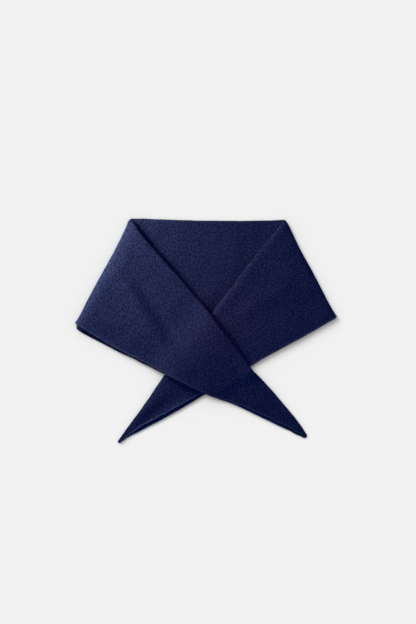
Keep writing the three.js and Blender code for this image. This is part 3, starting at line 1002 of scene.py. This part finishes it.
def knit_height(nodes, flat):
    """Height of the felted jersey stitches: slanted legs in columns, pushed about by the felting."""
    felting = nodes.noise(flat, FELT_SCALE, output=NOISE_COLOR)
    push = nodes.vector("SUBTRACT", felting, (0.5, 0.5, 0.5))
    warped = nodes.vector("ADD", flat, nodes.vector("MULTIPLY", push, FELT_PUSH))
    xyz = nodes.add("ShaderNodeSeparateXYZ")
    nodes.link(warped, xyz.inputs[0])
    column = nodes.math("FRACT", nodes.math("DIVIDE", xyz.outputs[0], WALE))
    from_middle = nodes.math("ABSOLUTE", nodes.math("SUBTRACT", column, 0.5))
    off_leg = nodes.math("ABSOLUTE", nodes.math("SUBTRACT", from_middle, 0.25))
    leg = nodes.math("SUBTRACT", 1.0, nodes.math("POWER", nodes.math("MULTIPLY", off_leg, 4.0), 2.0))
    slant = nodes.math("MULTIPLY", from_middle, STITCH_SLANT)
    phase = nodes.math("ADD", nodes.math("DIVIDE", xyz.outputs[1], COURSE), slant)
    wave = nodes.math("COSINE", nodes.math("MULTIPLY", phase, 2 * math.pi))
    stitch = nodes.math("MULTIPLY_ADD", wave, 0.5, 0.5)
    return nodes.math("MULTIPLY", leg, stitch)


def wool_knit():
    nodes = Nodes("navy_wool_knit")
    uv = nodes.add("ShaderNodeUVMap", uv_map=CLOTH_MAP)
    flat = uv.outputs[0]
    stitches = knit_height(nodes, flat)
    fibres = nodes.noise(flat, *FIBRE_GRAIN)
    mottle = nodes.noise(flat, *MOTTLE_GRAIN)
    flecks = nodes.noise(flat, *FLECK_GRAIN)
    felt = nodes.math("MULTIPLY_ADD", fibres, FIBRE_RELIEF, nodes.math("MULTIPLY", mottle, MOTTLE_RELIEF))
    height = nodes.math("MULTIPLY_ADD", stitches, STITCH_RELIEF, felt)
    bump = nodes.add("ShaderNodeBump")
    bump.inputs["Strength"].default_value = BUMP_STRENGTH
    bump.inputs["Distance"].default_value = BUMP_DEPTH
    nodes.link(height, bump.inputs["Height"])
    nodes.link(bump.outputs[0], nodes.shader.inputs["Normal"])
    body = nodes.mix_color(nodes.remap(mottle, *MOTTLE_RANGE), NAVY_DARK, NAVY)
    # Painted highlight: the raised parts of the relief are coloured lighter
    lit = nodes.mix_color(nodes.remap(height, *RELIEF_HIGHLIGHT_RANGE), body, NAVY_RELIEF_HIGHLIGHT)
    flecked = nodes.mix_color(nodes.remap(flecks, *FLECK_RANGE, 0.0, FLECK_MOST), lit, FLECK)
    nodes.link(flecked, nodes.shader.inputs["Base Color"])
    rough = nodes.remap(fibres, *FIBRE_RANGE, *ROUGHNESS_RANGE)
    nodes.link(rough, nodes.shader.inputs["Roughness"])
    nodes.shader.inputs["Specular IOR Level"].default_value = WOOL_SPECULAR
    nodes.shader.inputs["Sheen Weight"].default_value = WOOL_SHEEN_WEIGHT
    nodes.shader.inputs["Sheen Roughness"].default_value = WOOL_SHEEN_ROUGHNESS
    nodes.shader.inputs["Sheen Tint"].default_value = WOOL_SHEEN
    return nodes.material


def plain_material(name, color, roughness, specular):
    nodes = Nodes(name)
    nodes.shader.inputs["Base Color"].default_value = color
    nodes.shader.inputs["Roughness"].default_value = roughness
    nodes.shader.inputs["Specular IOR Level"].default_value = specular
    return nodes.material


def nap_fibre(name, color):
    return plain_material(name, color, NAP_ROUGHNESS, WOOL_SPECULAR)


def pale_floor():
    return plain_material("pale_floor", FLOOR_COLOR, 1.0, 0.0)


# Stage

def add_camera():
    data = bpy.data.cameras.new("camera")
    data.sensor_width = SENSOR
    data.lens = SENSOR * CAMERA_HEIGHT / VIEW_HEIGHT
    camera = bpy.data.objects.new("camera", data)
    camera.location = (VIEW_X, VIEW_Y, CAMERA_HEIGHT)
    bpy.context.scene.collection.objects.link(camera)
    bpy.context.scene.camera = camera


FLOOR_HALF = 8
FLOOR_COLOR = (0.92, 0.92, 0.92, 1)


def add_floor():
    h = FLOOR_HALF
    mesh = bpy.data.meshes.new("floor")
    mesh.from_pydata([(-h, -h, 0), (h, -h, 0), (h, h, 0), (-h, h, 0)], [], [(0, 1, 2, 3)])
    mesh.materials.append(pale_floor())
    floor = bpy.data.objects.new("floor", mesh)
    bpy.context.scene.collection.objects.link(floor)
    return floor


def aim(obj, from_point, to_point):
    obj.location = from_point
    obj.rotation_euler = (Vector(to_point) - Vector(from_point)).to_track_quat("-Z", "Y").to_euler()


def light_only(light, objects):
    """Limits a light to some objects; the others still cast its shadows."""
    lit = bpy.data.collections.new("lit_by_" + light.name)
    for obj in objects:
        lit.objects.link(obj)
    light.light_linking.receiver_collection = lit


# Soft distant lights: azimuth is anticlockwise from +X, and the angles and the spread are in degrees
Sun = namedtuple("Sun", "name azimuth elevation strength spread color")
WIDE = 165
WHITE = (1, 1, 1)
SKY_COLOR = (0.0, 0.29, 1.0)
FILL_COLOR = (0.3, 0.62, 1.0)
FLOOR_SUNS = [
    Sun("floor_key", 135, 43, 1.4, 34, WHITE),
    Sun("floor_fill", 100, 50, 0.75, 60, WHITE),
    Sun("floor_dome", 0, 90, 1.31, WIDE, WHITE),
]
CLOTH_SUNS = [
    Sun("sky", 0, 90, 1.55, WIDE, SKY_COLOR),
    Sun("low_fill", 235, 20, 0.55, 40, FILL_COLOR),
]


def add_sun(sun):
    data = bpy.data.lights.new(sun.name, "SUN")
    data.energy = sun.strength
    data.angle = math.radians(sun.spread)
    data.color = sun.color
    light = bpy.data.objects.new(sun.name, data)
    a = math.radians(sun.azimuth)
    e = math.radians(sun.elevation)
    way = (math.cos(a) * math.cos(e), math.sin(a) * math.cos(e), math.sin(e))
    aim(light, way, (0, 0, 0))
    bpy.context.scene.collection.objects.link(light)
    return light


# Near square lights, which fade across the cloth: a low window at the upper left, and a faint warm glow
# close over the crossing
Near = namedtuple("Near", "name place target size power color")
CLOTH_NEAR = [
    Near("window", (-0.3, 0.22, 0.1), (0.0, 0.0, 0.0), 0.12, 4.75, (0.85, 0.84, 0.55)),
    Near("glow", (0.018, 0.018, 0.08), (0.018, 0.018, 0.0), 0.02, 0.014, (1.0, 0.0, 0.05)),
]


def add_near(near):
    data = bpy.data.lights.new(near.name, "AREA")
    data.shape = "SQUARE"
    data.size = near.size
    data.energy = near.power
    data.color = near.color
    light = bpy.data.objects.new(near.name, data)
    light.visible_camera = False
    aim(light, near.place, near.target)
    bpy.context.scene.collection.objects.link(light)
    return light


DOME = 0.06
BACKDROP = 0.88


def add_world():
    """A dim dome for light, and a pale backdrop where the camera looks past the floor."""
    world = bpy.data.worlds.new("studio")
    world.use_nodes = True
    nodes = world.node_tree.nodes
    links = world.node_tree.links
    path = nodes.new("ShaderNodeLightPath")
    strength = nodes.new("ShaderNodeMapRange")
    links.new(path.outputs["Is Camera Ray"], strength.inputs["Value"])
    strength.inputs["To Min"].default_value = DOME
    strength.inputs["To Max"].default_value = BACKDROP
    links.new(strength.outputs[0], nodes["Background"].inputs["Strength"])
    nodes["Background"].inputs["Color"].default_value = (1, 1, 1, 1)
    bpy.context.scene.world = world


def add_lights(floor, cloth_pieces):
    """The floor gets an even tone and soft shadows from its own suns, and the cloth has a rig of its own."""
    for sun in FLOOR_SUNS:
        light_only(add_sun(sun), [floor])
    for sun in CLOTH_SUNS:
        light_only(add_sun(sun), cloth_pieces)
    for near in CLOTH_NEAR:
        light_only(add_near(near), cloth_pieces)
    add_world()
    bpy.context.scene.view_settings.view_transform = "Standard"


# The object

# Each stretch draws its unevenness from its own seed and the few after it
BACK_SEED = 11
RIGHT_SEED = 31
LEFT_SEED = 51

left_fold = Fold(LEFT_FOLD, -1)
right_fold = Fold(RIGHT_FOLD, 1)
knit = wool_knit()
fibres = [
    nap_fibre("navy_fibre", NAP_NAVY),
    nap_fibre("pale_fibre", NAP_PALE),
    # The edge fibres' pale colour is a painted highlight
    nap_fibre("edge_highlight_fibre", NAP_EDGE_HIGHLIGHT),
]

back_rings = back_stretch(left_fold, right_fold, BACK_SEED)
right_rings = end_stretch(
    right_fold,
    RIGHT_CORNER,
    RIGHT_HUMP,
    RIGHT_SECTIONS,
    [back_lift],
    RIGHT_CREASES,
    RIGHT_LONG_ROUND,
    RIGHT_SEED,
)
left_rings = end_stretch(
    left_fold,
    LEFT_CORNER,
    LEFT_HUMP,
    LEFT_SECTIONS,
    [back_lift, right_lift],
    LEFT_CREASES,
    LEFT_LONG_ROUND,
    LEFT_SEED,
)

# Each row is one stretch of the cloth. flip says that its rings run clockwise; width and length are the
# least rectangle that its flat cut fits in, and area the cut's own, in metres; nap_seed is the nap's.
Stretch = namedtuple("Stretch", "name rings flip held rests_on width length area nap_seed")
STRETCHES = [
    Stretch("back", back_rings, True, "laid", [], 0.304, 0.212, 0.0430, 71),
    Stretch("right", right_rings, False, "folded", ["back_cloth"], 0.364, 0.134, 0.0252, 72),
    Stretch("left", left_rings, True, "folded", ["back_cloth", "right_cloth"], 0.337, 0.163, 0.0284, 73),
]

pieces = []
for stretch in STRETCHES:
    node = stretch.name + "_stretch"
    cloth = cloth_object(stretch.name + "_cloth", stretch.rings, stretch.flip, knit)
    nap = nap_object(stretch.name + "_nap", stretch.rings, stretch.flip, stretch.nap_seed, fibres)
    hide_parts(node)
    for piece in (cloth, nap):
        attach(piece, BODY)
        pieces.append(piece)

add_camera()
add_lights(add_floor(), pieces)
